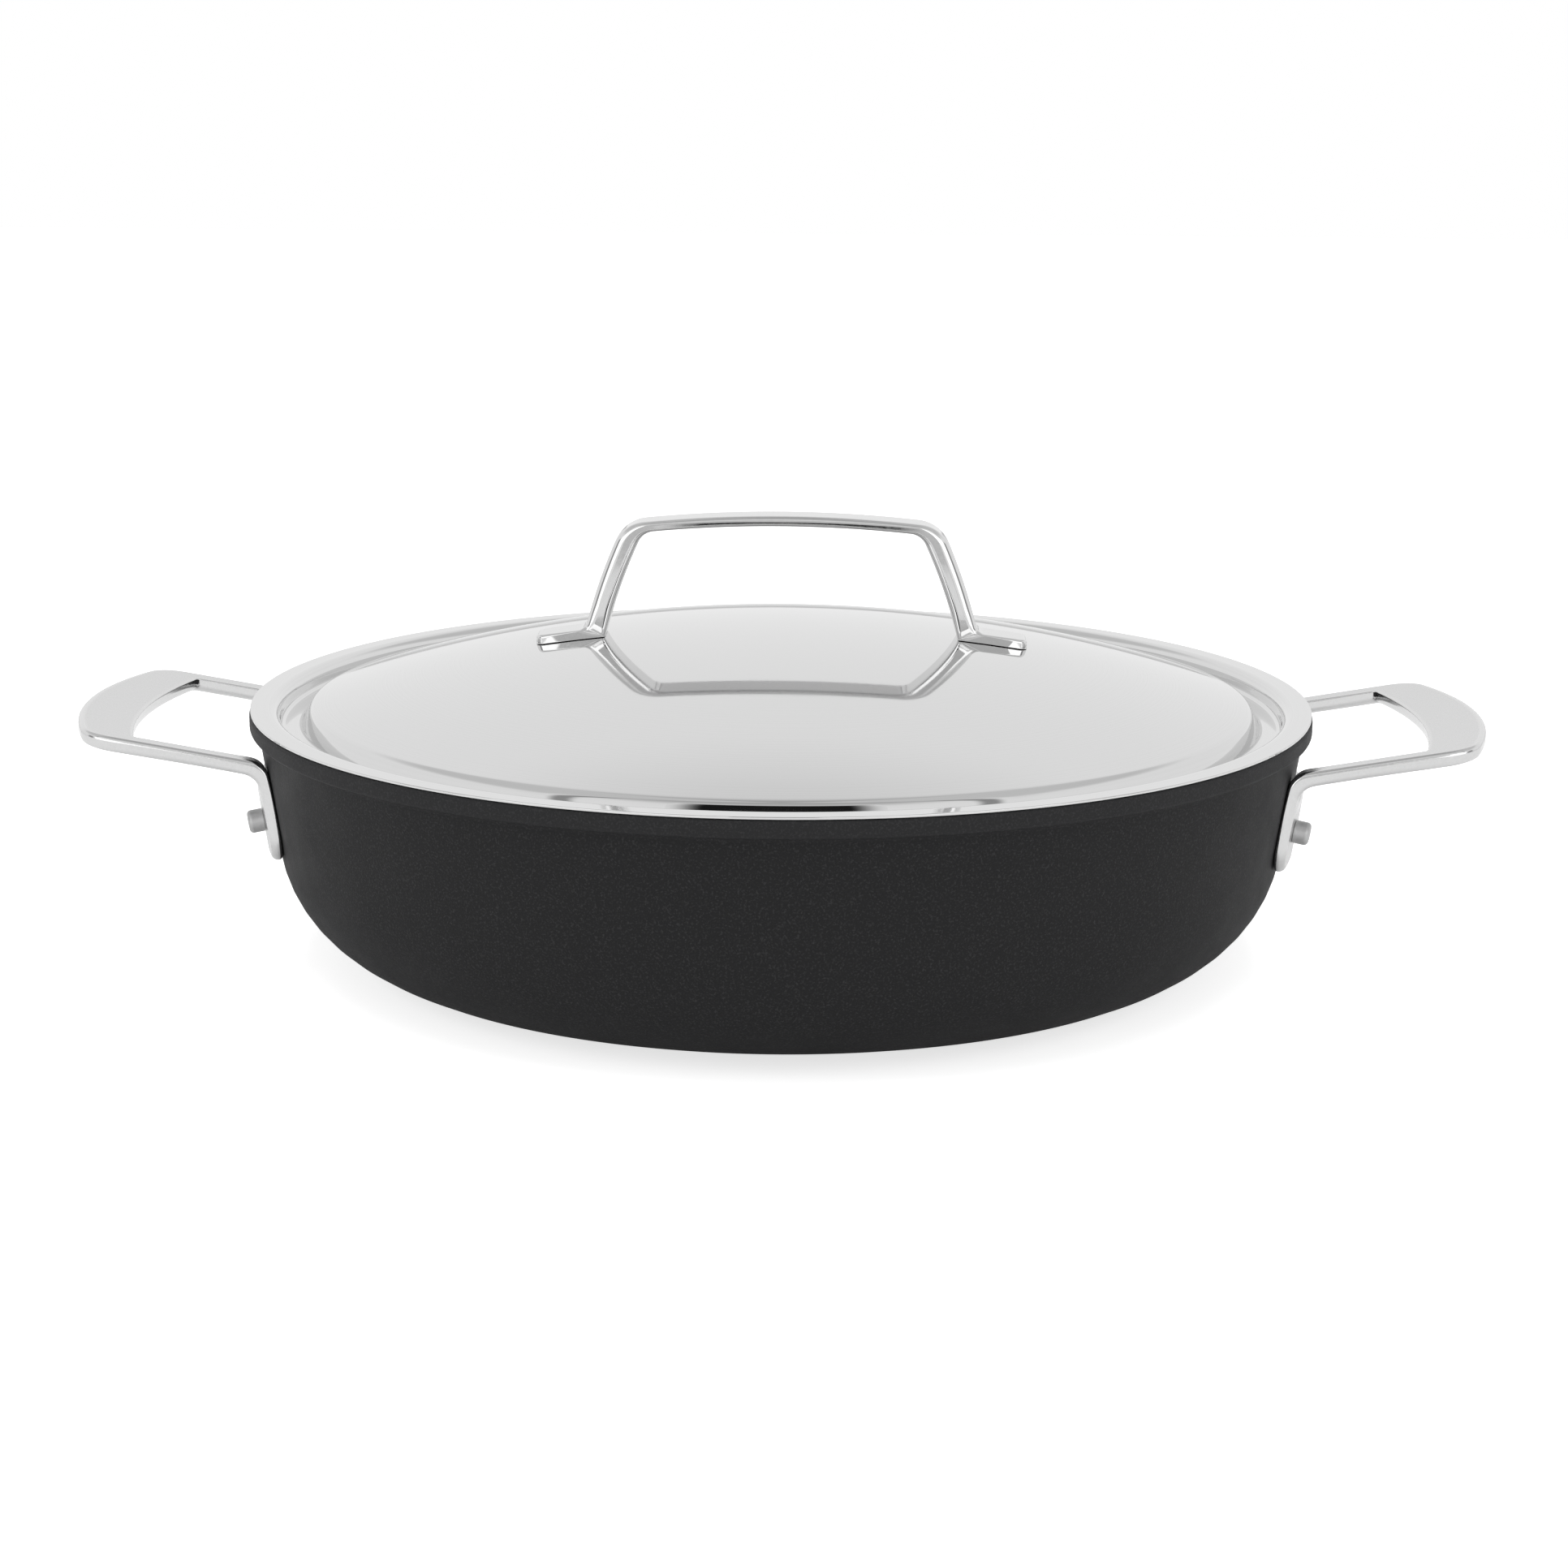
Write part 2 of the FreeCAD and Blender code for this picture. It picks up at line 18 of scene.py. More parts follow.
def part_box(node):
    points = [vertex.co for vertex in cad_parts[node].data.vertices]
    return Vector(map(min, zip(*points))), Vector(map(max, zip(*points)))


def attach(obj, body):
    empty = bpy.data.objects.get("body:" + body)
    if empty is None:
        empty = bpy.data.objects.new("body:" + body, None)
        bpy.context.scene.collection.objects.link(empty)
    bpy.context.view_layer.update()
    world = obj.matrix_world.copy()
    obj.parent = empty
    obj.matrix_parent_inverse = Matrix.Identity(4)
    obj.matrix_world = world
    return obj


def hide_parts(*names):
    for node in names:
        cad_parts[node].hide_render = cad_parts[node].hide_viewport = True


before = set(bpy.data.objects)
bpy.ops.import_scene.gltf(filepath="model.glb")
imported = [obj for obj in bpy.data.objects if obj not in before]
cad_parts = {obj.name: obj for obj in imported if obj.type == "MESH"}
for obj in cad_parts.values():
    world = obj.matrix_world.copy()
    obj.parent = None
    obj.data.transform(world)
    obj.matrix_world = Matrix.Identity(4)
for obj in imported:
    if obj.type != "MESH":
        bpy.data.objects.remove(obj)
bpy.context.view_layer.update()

# %% [markdown]
# ## Outlines with round corners
#
# Nothing on a pan has a perfectly sharp edge: every corner is a small arc that catches the light.
# So an outline is written as corners, each with its radius, and a helper works out the points. It also
# sets a holding point just before and after each arc, which keeps the smooth shading of the arc from
# running into the flat beside it. A Bevel modifier could round the edges afterwards, but the radii
# differ from corner to corner, and an outline keeps each one exact.

# %% Round the corners of an outline
ARC_STEP = math.radians(7.5)
HOLDING_SHARE = 0.1


def arc_at(before, corner, after, radius, steps):
    """Points of the arc that rounds the corner between two straight runs."""
    back, ahead = (before - corner).normalized(), (after - corner).normalized()
    turn = math.pi - back.angle(ahead)
    centre = corner + (back + ahead).normalized() * radius / math.cos(turn / 2)
    start, end = (corner + way * radius * math.tan(turn / 2) - centre for way in (back, ahead))
    shares = [step / steps for step in range(steps + 1)]
    return [centre + (start * math.sin((1 - share) * turn) + end * math.sin(share * turn)) / math.sin(turn)
            for share in shares]


def rounded(corners):
    """Points of an open outline whose corners are (across, up, radius)."""
    places = [Vector(corner[:2]) for corner in corners]
    points = [places[0]]
    for before, here, after, corner in zip(places, places[1:], places[2:], corners[1:]):
        radius = corner[2]
        if radius == 0:
            points.append(here)
            continue
        turn = (here - before).angle(after - here)
        arc = arc_at(before, here, after, radius, max(4, math.ceil(turn / ARC_STEP)))
        points.append(arc[0].lerp(points[-1], HOLDING_SHARE))
        points.extend(arc)
        points.append(arc[-1].lerp(after, HOLDING_SHARE))
    points.append(places[-1])
    return points


print("a square corner takes", len(rounded([(0, 0, 0), (1, 0, 0.1), (1, 1, 0)])) - 2, "points")

# %% [markdown]
# ## Nodes by name
#
# Finishes and Geometry Nodes are both trees of nodes. One helper adds a node, sets its options and
# fills its inputs, either with a number or with another node's output, so that a tree reads from
# top to bottom like a recipe. Small helpers then say what every finish says: how a noise sets its
# roughness, its grey and its bump.

# %% Add a node to a tree
NOISE_LOW, NOISE_HIGH = 0.3, 0.7


def add(tree, kind, inputs=None, **options):
    """Add a node and fill its inputs with numbers or with other nodes' outputs."""
    node = tree.nodes.new(kind)
    for name, value in options.items():
        setattr(node, name, value)
    for name, value in (inputs or {}).items():
        if isinstance(value, bpy.types.NodeSocket):
            tree.links.new(value, node.inputs[name])
        else:
            node.inputs[name].default_value = value
    return node


def math_node(tree, operation, *values):
    """Output of a Math node."""
    return add(tree, "ShaderNodeMath", dict(enumerate(values)), operation=operation).outputs[0]


def ranged(tree, value, low, high, to_low, to_high):
    """Output of a Map Range node that turns low to high into another range."""
    return add(tree, "ShaderNodeMapRange", {"Value": value, "From Min": low, "From Max": high,
                                            "To Min": to_low, "To Max": to_high}).outputs["Result"]


def new_finish(name):
    """A material with its tree, its surface shader and the piece's own coordinates."""
    finish = bpy.data.materials.new(name)
    finish.use_nodes = True
    tree = finish.node_tree
    place = add(tree, "ShaderNodeTexCoord").outputs["Object"]
    return finish, tree, tree.nodes["Principled BSDF"], place


def new_metal(name):
    """A finish that is bare metal."""
    finish, tree, surface, place = new_finish(name)
    surface.inputs["Metallic"].default_value = 1
    return finish, tree, surface, place


def grey(level):
    return (level, level, level, 1)


def toned(tree, noise, low, high):
    """Output that follows a noise from low to high, over the range that the noise mostly fills."""
    return ranged(tree, noise.outputs[0], NOISE_LOW, NOISE_HIGH, low, high)


def roughened(tree, surface, noise, low, high):
    """Let a noise set how rough a surface is."""
    tree.links.new(toned(tree, noise, low, high), surface.inputs["Roughness"])


def tinted(tree, surface, noise, low, high):
    """Let a noise set a surface's grey."""
    tint = toned(tree, noise, low, high)
    tree.links.new(add(tree, "ShaderNodeCombineColor", {0: tint, 1: tint, 2: tint}).outputs[0],
                   surface.inputs["Base Color"])


def bumped(tree, surface, noise, strength, distance):
    """Let a noise raise a surface."""
    bump = add(tree, "ShaderNodeBump", {"Height": noise.outputs[0], "Strength": strength,
                                        "Distance": distance})
    tree.links.new(bump.outputs[0], surface.inputs["Normal"])


# %% [markdown]
# ## The black coating
#
# The pan is cast aluminium with a matte non-stick coating. Close up it is not one black: the coating
# holds fine lighter specks and has a slightly pebbled skin, which is what spreads the highlight on the
# wall. The lip is painted a little lighter, a painted highlight for the light that the rim catches. The
# specks are a small-scale noise cut off near its top, and a second noise gives the skin its bump, both
# in the pan's own coordinates; the painted highlight on the lip follows the height.

# %% Mix the black coating
SPECK_LOW, SPECK_HIGH = 0.52, 0.72
# painted highlight on the lip: the heights below the rim where it begins and where it is full, and how much
# lighter it paints the coating
LIP_SHEEN_LOW, LIP_SHEEN_HIGH, LIP_SHEEN = 0.0048, 0.0042, 0.35
COAT, SPECK = (0.0215, 0.0215, 0.0223, 1), (0.040, 0.040, 0.0412, 1)

black_coating, tree, surface, place = new_finish("black_coating")
specks = add(tree, "ShaderNodeTexNoise", {"Vector": place, "Scale": 1900, "Detail": 2, "Roughness": 0.6})
clouds = add(tree, "ShaderNodeTexNoise", {"Vector": place, "Scale": 60, "Detail": 3})
skin = add(tree, "ShaderNodeTexNoise", {"Vector": place, "Scale": 2200, "Detail": 2})
speck = ranged(tree, specks.outputs[0], SPECK_LOW, SPECK_HIGH, 0, 1)
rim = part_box("pan_body")[1].z
height = add(tree, "ShaderNodeSeparateXYZ", {0: place}).outputs["Z"]
# painted highlight: the coating is painted lighter on the lip, for the light that the rim catches
painted_lip_sheen = ranged(tree, height, rim - LIP_SHEEN_LOW, rim - LIP_SHEEN_HIGH, 0, LIP_SHEEN)
shade = add(tree, "ShaderNodeMix", {0: math_node(tree, "ADD", speck, painted_lip_sheen), 6: COAT, 7: SPECK},
            data_type="RGBA")
tree.links.new(shade.outputs[2], surface.inputs["Base Color"])
roughened(tree, surface, clouds, 0.46, 0.56)
bumped(tree, surface, skin, 0.25, 0.0002)
surface.inputs["Specular IOR Level"].default_value = 0.06
print("finish", black_coating.name)

# %% [markdown]
# ## Polished and satin steel
#
# The lid and its bow are polished until they mirror the room, but polishing leaves very fine lines that
# run round the axis and take a little sharpness from the mirror. The loops are finer than brushed
# and duller than mirror: a satin face between polished edges. Both are a metal whose
# roughness and bump come from noise: for the lid it is stretched into rings by sampling it at the
# distance from the axis, and for the loops it is a plain fine grain. The bow is polished by hand along
# its length, not on a lathe, so it has a finish of its own without rings.

# %% Mix the polished steel


def ring_noise(tree, place, scale, detail):
    """A noise sampled at the distance from the axis, which makes rings."""
    apart = add(tree, "ShaderNodeSeparateXYZ", {0: place}).outputs
    squares = [math_node(tree, "POWER", apart[axis], 2) for axis in ("X", "Y")]
    reach = math_node(tree, "SQRT", math_node(tree, "ADD", *squares))
    return add(tree, "ShaderNodeTexNoise", {"W": reach, "Scale": scale, "Detail": detail},
               noise_dimensions="1D")


polished_steel, tree, surface, place = new_metal("polished_steel")
rings = ring_noise(tree, place, 2600, 2)
clouds = add(tree, "ShaderNodeTexNoise", {"Vector": place, "Scale": 35, "Detail": 2})
roughened(tree, surface, clouds, 0.03, 0.06)
tinted(tree, surface, rings, 0.715, 0.735)
bumped(tree, surface, rings, 0.01, 0.0001)

polished_bow, tree, surface, place = new_metal("polished_bow")
grain = add(tree, "ShaderNodeTexNoise", {"Vector": place, "Scale": 900, "Detail": 3})
roughened(tree, surface, grain, 0.04, 0.07)
tinted(tree, surface, grain, 0.71, 0.74)
print("finishes", polished_steel.name, polished_bow.name)

# %% Mix the satin steel
EDGE_POLISH = 0.45

satin_steel, tree, surface, place = new_metal("satin_steel")
grain = add(tree, "ShaderNodeTexNoise", {"Vector": place, "Scale": 1800, "Detail": 3})
polish = add(tree, "ShaderNodeAttribute", attribute_name="polish").outputs["Fac"]
dull = toned(tree, grain, 0.26, 0.34)
tree.links.new(math_node(tree, "MULTIPLY", dull, ranged(tree, polish, 0, 1, 1, EDGE_POLISH)),
               surface.inputs["Roughness"])
tinted(tree, surface, grain, 0.69, 0.73)
bumped(tree, surface, grain, 0.03, 0.0001)
print("finish", satin_steel.name)

# %% [markdown]
# ## Turned steel and rivet aluminium
#
# The disc under the pan is faced on a lathe, which leaves fine rings, and its finish is the same ring
# noise, coarser and with more bump. The rivets are soft aluminium, pressed in place and left dull, with a
# faintly mottled face.

# %% Mix the turned steel and the rivet aluminium
turned_steel, tree, surface, place = new_metal("turned_steel")
rings = ring_noise(tree, place, 320, 5)
roughened(tree, surface, rings, 0.24, 0.44)
tinted(tree, surface, rings, 0.48, 0.7)
bumped(tree, surface, rings, 0.3, 0.0002)

rivet_aluminium, tree, surface, place = new_metal("rivet_aluminium")
mottle = add(tree, "ShaderNodeTexNoise", {"Vector": place, "Scale": 700, "Detail": 4})
roughened(tree, surface, mottle, 0.44, 0.56)
tinted(tree, surface, mottle, 0.48, 0.58)
bumped(tree, surface, mottle, 0.15, 0.0002)
print("finishes", turned_steel.name, rivet_aluminium.name)

# %% [markdown]
# ## A lathe in Geometry Nodes
#
# The pan, the disc under it, the lid and the rivets are round: each is one outline turned about an axis.
# Spin in the mesh editor would do it once, but a node tree keeps the rule. It lays out a grid with
# a row for each point of the outline, fetches that point, and swings it round the axis by the column's
# angle. Merging by distance then closes the seam and the poles.

# %% Build the lathe
MERGE_DISTANCE = 1e-7


def new_tree(name, **sizes):
    """A tree with geometry in and out and a named input for each size."""
    tree = bpy.data.node_groups.new(name, "GeometryNodeTree")
    tree.interface.new_socket("Geometry", in_out="INPUT", socket_type="NodeSocketGeometry")
    for label, kind in sizes.items():
        tree.interface.new_socket(label, in_out="INPUT", socket_type=f"NodeSocket{kind}")
    tree.interface.new_socket("Geometry", in_out="OUTPUT", socket_type="NodeSocketGeometry")
    return tree, tree.nodes.new("NodeGroupInput").outputs


def end_tree(tree, geometry, finish):
    """Close a tree: smooth, made real and given its finish."""
    smooth = add(tree, "GeometryNodeSetShadeSmooth", {0: geometry})
    real = add(tree, "GeometryNodeRealizeInstances", {0: smooth.outputs[0]})
    coated = add(tree, "GeometryNodeSetMaterial", {0: real.outputs[0], "Material": finish})
    tree.links.new(coated.outputs[0], tree.nodes.new("NodeGroupOutput").inputs[0])


lathe, given = new_tree("lathe", Steps="Int", Finish="Material")
rows = add(lathe, "GeometryNodeAttributeDomainSize", {0: given["Geometry"]}).outputs["Point Count"]
columns = add(lathe, "FunctionNodeIntegerMath", {0: given["Steps"], 1: 1}, operation="ADD").outputs[0]
grid = add(lathe, "GeometryNodeMeshGrid", {"Vertices X": rows, "Vertices Y": columns}).outputs["Mesh"]
index = add(lathe, "GeometryNodeInputIndex").outputs[0]
row = add(lathe, "FunctionNodeIntegerMath", {0: index, 1: columns}, operation="DIVIDE_FLOOR").outputs[0]
column = add(lathe, "FunctionNodeIntegerMath", {0: index, 1: columns}, operation="MODULO").outputs[0]
position = add(lathe, "GeometryNodeInputPosition").outputs[0]
point = add(lathe, "GeometryNodeSampleIndex", data_type="FLOAT_VECTOR")
for socket, value in (("Geometry", given["Geometry"]), ("Value", position), ("Index", row)):
    lathe.links.new(value, point.inputs[socket])
angle = math_node(lathe, "MULTIPLY", math_node(lathe, "DIVIDE", column, given["Steps"]), math.tau)
swung = add(lathe, "ShaderNodeVectorRotate", {"Vector": point.outputs[0], "Angle": angle},
            rotation_type="Z_AXIS")
turned = add(lathe, "GeometryNodeSetPosition", {"Geometry": grid, "Position": swung.outputs[0]})
closed = add(lathe, "GeometryNodeMergeByDistance", {"Geometry": turned.outputs[0],
                                                    "Distance": MERGE_DISTANCE})
end_tree(lathe, closed.outputs[0], given["Finish"])
print("lathe has", len(lathe.nodes), "nodes")

# %% Run a tree on an outline and keep a plain mesh
SHARP_ANGLE = math.radians(50)


def finished(piece, body, slot, *nodes):
    """Point a piece's faces outwards, keep its sharp edges sharp, and give it its place in the frame."""
    mesh = bmesh.new()
    mesh.from_mesh(piece.data)
    bmesh.ops.recalc_face_normals(mesh, faces=mesh.faces)
    open_edges = sum(not edge.is_manifold for edge in mesh.edges)
    mesh.to_mesh(piece.data)
    mesh.free()
    piece.data.set_sharp_from_angle(angle=SHARP_ANGLE)
    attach(piece, body)
    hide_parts(*nodes)
    print(piece.name, "has", len(piece.data.polygons), "faces and", open_edges, "open edges")


def grown(name, outline, tree, **inputs):
    """Run a tree on an outline's points, and turn the result into a plain mesh."""
    seed = bpy.data.meshes.new(name)
    seed.from_pydata([(across, 0, up) for across, up in outline], [], [])
    piece = bpy.data.objects.new(name, seed)
    modifier = piece.modifiers.new(tree.name, "NODES")
    modifier.node_group = tree
    for item in tree.interface.items_tree:
        if item.in_out == "INPUT" and item.name in inputs:
            modifier[item.identifier] = inputs[item.name]
    bpy.context.scene.collection.objects.link(piece)
    result = bpy.data.meshes.new_from_object(piece.evaluated_get(bpy.context.evaluated_depsgraph_get()))
    piece.modifiers.clear()
    piece.data = result
    bpy.data.meshes.remove(seed)
    result.name = name
    return piece


# %% [markdown]
# ## The pan
#
# A low round pan: a flat floor with a recess below for the disc, a large rounded corner, a wall that
# leans out, and a lip rolled over at the rim. Only its section matters, so it goes on the lathe. The
# radii and heights come from the frame's boxes, and the rest are the pan's own sizes in metres.

# %% Turn the pan
pan_low, pan_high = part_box("pan_body")
disc_low, disc_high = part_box("base_disc")
handle_low, handle_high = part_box("right_handle")
LIP, RIM, FOOT = pan_high.x, pan_high.z, pan_low.z
LIP_HEIGHT, LIP_OVERHANG = 0.0047, 0.0023
WALL, FLOOR_THICK = 0.004, 0.005
LIP_UNDER, WALL_TOP, FLOOR = RIM - LIP_HEIGHT, LIP - LIP_OVERHANG, FOOT + FLOOR_THICK
DRAFT = math.radians(8.4)
LIP_ROUND, LIP_UNDER_ROUND, LIP_ROOT, MOUTH_ROUND = 0.0012, 0.0008, 0.0017, 0.0009
RECESS_GAP = 0.0002
ROUND_STEPS = 256


def wall_at(height):
    """Radius of the outer wall at a height."""
    return WALL_TOP - (LIP_UNDER - height) * math.tan(DRAFT)


BRACKET_FOOT = handle_low.z
MOUTH = wall_at(RIM) - WALL / math.cos(DRAFT)
CORNER = (BRACKET_FOOT - FOOT) / math.cos(DRAFT) * math.tan(math.pi / 4 + DRAFT / 2)
recess = disc_high.x + RECESS_GAP
pan_outline = rounded([
    (0, disc_high.z, 0), (recess, disc_high.z, 0), (recess, FOOT, 0),
    (wall_at(FOOT), FOOT, CORNER), (WALL_TOP, LIP_UNDER, LIP_ROOT),
    (LIP, LIP_UNDER, LIP_UNDER_ROUND), (LIP, RIM, LIP_ROUND), (MOUTH, RIM, MOUTH_ROUND),
    (MOUTH - (RIM - FLOOR) * math.tan(DRAFT), FLOOR, CORNER - WALL), (0, FLOOR, 0)])
pan = grown("pan", pan_outline, lathe, Steps=ROUND_STEPS, Finish=black_coating)
finished(pan, "pan", "black_coating", "pan_body")

# %% [markdown]
# ## The disc under the pan
#
# A steel disc is let into the pan's underside so that it heats on any hob. It lies flush in its recess
# but for a hair, and its lower edge is broken. It is the same lathe with a much shorter outline.

# %% Turn the disc
DISC_EDGE = 0.0002
disc_outline = rounded([(0, disc_low.z, 0), (disc_high.x, disc_low.z, DISC_EDGE),
                        (disc_high.x, disc_high.z, 0), (0, disc_high.z, 0)])
disc = grown("disc", disc_outline, lathe, Steps=ROUND_STEPS, Finish=turned_steel)
finished(disc, "pan", "satin_steel", "base_disc")

# %% [markdown]
# ## The lid
#
# The lid is one sheet of steel, pressed into a shallow dome with a drip channel round it and a flat brim
# that lies on the pan's lip. Its outline goes out along the upper face and comes back along the
# lower one, a sheet's thickness below. The dome is an arc of a sphere, so its points are worked out
# from the sphere instead of being drawn.

# %% Press the lid
lid_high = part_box("lid_shell")[1]
SHEET = 0.0007
BRIM, BRIM_TOP, BRIM_EDGE = lid_high.x, RIM + SHEET, 0.0002
PLAY, CHANNEL_DEPTH, CHANNEL_WIDTH, CHANNEL_FLARE = 0.0018, 0.0057, 0.0057, 0.0026
CHANNEL_OUT = MOUTH - PLAY
CHANNEL_FLOOR = BRIM_TOP - CHANNEL_DEPTH
CHANNEL_IN = CHANNEL_OUT - SHEET - CHANNEL_WIDTH
DOME_EDGE = CHANNEL_IN - CHANNEL_FLARE
CHANNEL_BEND, BRIM_BEND, DOME_BEND = 0.0014, 0.0022, 0.0023
DOME_EDGE_LIFT = 0.0004
DOME_RISE = lid_high.z - RIM - DOME_EDGE_LIFT
DOME_RADIUS = (DOME_EDGE**2 + DOME_RISE**2) / (2 * DOME_RISE)
DOME_STEPS = 24
DOME_CLEAR = 3 * DOME_BEND


def dome_at(reach, lift=0):
    """Height of the dome's upper face at a reach from the axis, or of a face that lies a lift above it."""
    return lid_high.z - DOME_RADIUS + math.sqrt((DOME_RADIUS + lift)**2 - reach**2)


def dome_points(edge, lift):
    """Points from the axis to just short of the dome's edge."""
    stop = edge - DOME_CLEAR
    reaches = [stop * step / DOME_STEPS for step in range(DOME_STEPS + 1)]
    return [(reach, dome_at(reach, lift), 0) for reach in reaches]


under_edge = DOME_EDGE - SHEET
lid_outline = rounded(dome_points(DOME_EDGE, 0) + [
    (DOME_EDGE, dome_at(DOME_EDGE), DOME_BEND + SHEET),
    (CHANNEL_IN, CHANNEL_FLOOR, CHANNEL_BEND), (CHANNEL_OUT - SHEET, CHANNEL_FLOOR, CHANNEL_BEND),
    (CHANNEL_OUT - SHEET, BRIM_TOP, BRIM_BEND + SHEET),
    (BRIM, BRIM_TOP, BRIM_EDGE), (BRIM, RIM, BRIM_EDGE), (CHANNEL_OUT, RIM, BRIM_BEND),
    (CHANNEL_OUT, CHANNEL_FLOOR - SHEET, CHANNEL_BEND + SHEET),
    (CHANNEL_IN - SHEET, CHANNEL_FLOOR - SHEET, CHANNEL_BEND + SHEET),
    (under_edge, dome_at(under_edge, -SHEET), DOME_BEND),
] + dome_points(under_edge, -SHEET)[::-1])
lid = grown("lid", lid_outline, lathe, Steps=ROUND_STEPS, Finish=polished_steel)
finished(lid, "lid", "polished_steel", "lid_shell")

# %% [markdown]
# ## The rivets
#
# Each bracket is held by two rivets: a low head inside the pan, a shank through wall and bracket, and a
# stub outside. All four are alike, so one is turned and set on four points. The points
# follow a rule: two on each side of the pan, spread evenly about the X axis, and each leans out
# square to the wall. A second tree holds that rule and uses the lathe as one of its nodes.

# %% Set the rivets
RIVETS, RIVET_LIFT, RIVET_INSET = 4, 0.0112, 0.0088
RIVET_HEIGHT = BRACKET_FOOT + RIVET_LIFT
SEAT_GAP, BRACKET = 0.00015, 0.0029
SHANK, HEAD, STUB = 0.0025, 0.0055, 0.0031
HEAD_HEIGHT, STUB_HEIGHT = 0.0018, 0.004
HEAD_ROUND, STUB_ROUND = 0.001, 0.0011
RIVET_STEPS = 48

rivet_set, given = new_tree("rivet_set", Steps="Int", Radius="Float", Height="Float", Spread="Float",
                            Lean="Float", Finish="Material")
index = add(rivet_set, "GeometryNodeInputIndex").outputs[0]
side = math_node(rivet_set, "FLOOR", math_node(rivet_set, "DIVIDE", index, 2))
end = math_node(rivet_set, "MULTIPLY_ADD", math_node(rivet_set, "MODULO", index, 2), 2, -1)
turn = math_node(rivet_set, "MULTIPLY_ADD", end, given["Spread"],
                 math_node(rivet_set, "MULTIPLY", side, math.pi))
seat = add(rivet_set, "ShaderNodeCombineXYZ", {"X": given["Radius"], "Z": given["Height"]})
seated = add(rivet_set, "ShaderNodeVectorRotate", {"Vector": seat.outputs[0], "Angle": turn},
             rotation_type="Z_AXIS")
seats = add(rivet_set, "GeometryNodePoints", {"Count": RIVETS, "Position": seated.outputs[0]})
leaning = add(rivet_set, "ShaderNodeCombineXYZ", {"Y": given["Lean"], "Z": turn})
facing = add(rivet_set, "FunctionNodeEulerToRotation", {0: leaning.outputs[0]})
rivet = add(rivet_set, "GeometryNodeGroup", node_tree=lathe)
for label in ("Geometry", "Steps", "Finish"):
    rivet_set.links.new(given[label], rivet.inputs[label])
riveted = add(rivet_set, "GeometryNodeInstanceOnPoints", {
    "Points": seats.outputs[0], "Instance": rivet.outputs[0], "Rotation": facing.outputs[0]})
end_tree(rivet_set, riveted.outputs[0], given["Finish"])

inside = -WALL - SEAT_GAP
outside = 2 * SEAT_GAP + BRACKET
rivet_outline = rounded([
    (0, inside - HEAD_HEIGHT, 0), (HEAD, inside - HEAD_HEIGHT, HEAD_ROUND), (HEAD, inside, 0),
    (SHANK, inside, 0), (SHANK, outside, 0), (STUB, outside, 0),
    (STUB, outside + STUB_HEIGHT, STUB_ROUND), (0, outside + STUB_HEIGHT, 0)])
seat_radius = wall_at(RIVET_HEIGHT)
rivets = grown("rivets", rivet_outline, rivet_set, Steps=RIVET_STEPS, Radius=seat_radius,
               Height=RIVET_HEIGHT, Spread=math.asin((handle_high.y - RIVET_INSET) / seat_radius),
               Lean=math.pi / 2 + DRAFT, Finish=rivet_aluminium)
finished(rivets, "pan", "rivet_aluminium", "right_front_rivet", "right_rear_rivet",
         "left_front_rivet", "left_rear_rivet")

# %% [markdown]
# ## The side handles
#
# Each loop is one heavy strip of steel: a bracket that hugs the wall, a bend, and a flat loop that
# rises outward with a finger gap cut through it. Seen as a whole it is a ring, so it is modelled as one:
# stations run once round the finger gap, and at each station stands a section with four rounded
# corners. A Boolean would cut the gap out of a bent plate, but its edges could not be rounded
# as cleanly, and these edges carry the brightest highlights.
#
# The strip has two faces, an upper one that turns to the wall and an under one that turns outward.
# A station names a surface, the loop, the bend or the bracket, and its outer and gap ends in that
# surface's own coordinates. Points between the two ends are then exactly on the strip.

# %% Describe the strip
STRIP, RISE = 0.0041, math.radians(9.8)
LOOP_DROP = 0.0098
BEND, UPPER_BEND = 0.0055, 0.005
loop_level = RIM - LOOP_DROP - LIP * math.tan(RISE)
BEND_STEPS = 10


class Face:
    """One face of the strip: its loop's level on the axis, its bracket's lift and its bend."""

    def __init__(self, level, lift, bend):
        self.level, self.lift = level, lift
        across = (self.bracket(0) + level * math.tan(DRAFT)) / (1 - math.tan(DRAFT) * math.tan(RISE))
        corner = Vector((across, level + across * math.tan(RISE)))
        below = Vector((self.bracket(0), 0))
        beyond = Vector((2 * across, level + 2 * across * math.tan(RISE)))
        self.arc = arc_at(beyond, corner, below, bend, BEND_STEPS)

    def bracket(self, height):
        """Radius of the bracket at a height."""
        return wall_at(height) + SEAT_GAP + self.lift / math.cos(DRAFT)


upper = Face(loop_level, 0, UPPER_BEND)
under = Face(loop_level - STRIP / math.cos(RISE), BRACKET, BEND)


def on_loop(face, across, along):
    return Vector((across, along, face.level + math.hypot(across, along) * math.tan(RISE)))


def on_bracket(face, along, height):
    return Vector((math.sqrt(face.bracket(height)**2 - along**2), along, height))


def on_bend(step):
    """Surface of the bend at one step of its arc."""
    def surface(face, along):
        radius, height = face.arc[step]
        return Vector((math.sqrt(radius**2 - along**2), along, height))
    return surface


print("bends end at", [round(face.arc[-1].y, 5) for face in (upper, under)])

